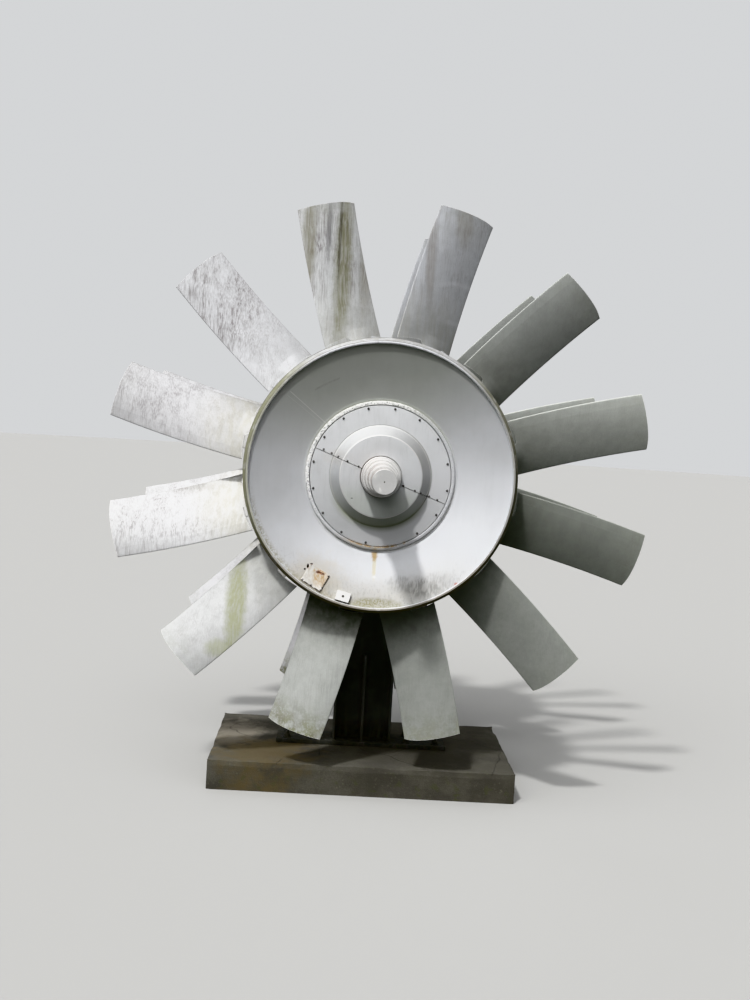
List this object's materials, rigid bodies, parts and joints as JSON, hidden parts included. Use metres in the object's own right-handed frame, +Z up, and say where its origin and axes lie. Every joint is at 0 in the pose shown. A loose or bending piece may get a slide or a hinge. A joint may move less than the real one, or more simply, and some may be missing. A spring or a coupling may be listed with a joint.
{
  "type": "two-stage axial fan rotor on a display stand",
  "caption": "Two-stage axial fan rotor with plate blades, turning in a bearing on a steel column and concrete plinth.",
  "frame": {"origin": "centre of the plinth's underside, on the ground", "axes": "+Z up; -Y is the front, where the open face of the hub and the stepped shaft end are seen; the shaft runs along Y"},
  "size_m": [2.5652, 2.457, 2.8676],
  "materials": {
    "blade_paint": "weathered grey paint with moss and dirt streaks",
    "hub_paint": "weathered light grey paint, rust at the edges",
    "shaft_steel": "turned steel, dulled outdoors",
    "bearing_paint": "dark painted casting",
    "stand_paint": "matt black paint",
    "concrete": "stained concrete"
  },
  "bodies": {
    "stand": {"base_plate": "stand_paint", "bearing_base": "bearing_paint", "bearing_cap": "bearing_paint", "column_flange_left": "stand_paint", "column_flange_right": "stand_paint", "column_web": "stand_paint", "front_rib": "stand_paint", "plinth": "concrete", "rear_rib": "stand_paint", "saddle_plate": "stand_paint"},
    "rotor": {"balance_block": "hub_paint", "front_blade_01": "blade_paint", "front_blade_02": "blade_paint", "front_blade_03": "blade_paint", "front_blade_04": "blade_paint", "front_blade_05": "blade_paint", "front_blade_06": "blade_paint", "front_blade_07": "blade_paint", "front_blade_08": "blade_paint", "front_blade_09": "blade_paint", "front_blade_10": "blade_paint", "front_blade_11": "blade_paint", "front_blade_12": "blade_paint", "front_cover_lower": "hub_paint", "front_cover_upper": "hub_paint", "front_hub_dish": "hub_paint", "front_hub_drum": "hub_paint", "hatch_plate": "hub_paint", "rear_blade_01": "blade_paint", "rear_blade_02": "blade_paint", "rear_blade_03": "blade_paint", "rear_blade_04": "blade_paint", "rear_blade_05": "blade_paint", "rear_blade_06": "blade_paint", "rear_blade_07": "blade_paint", "rear_blade_08": "blade_paint", "rear_blade_09": "blade_paint", "rear_blade_10": "blade_paint", "rear_blade_11": "blade_paint", "rear_blade_12": "blade_paint", "rear_cover_lower": "hub_paint", "rear_cover_upper": "hub_paint", "rear_hub_dish": "hub_paint", "rear_hub_drum": "hub_paint", "shaft": "shaft_steel"}
  },
  "joints": [
    {"name": "rotor_spin", "type": "hinge", "parent": "stand", "child": "rotor", "pos_m": [0, 0, 1.585], "axis": [0, 1, 0], "continuous": true}
  ]
}
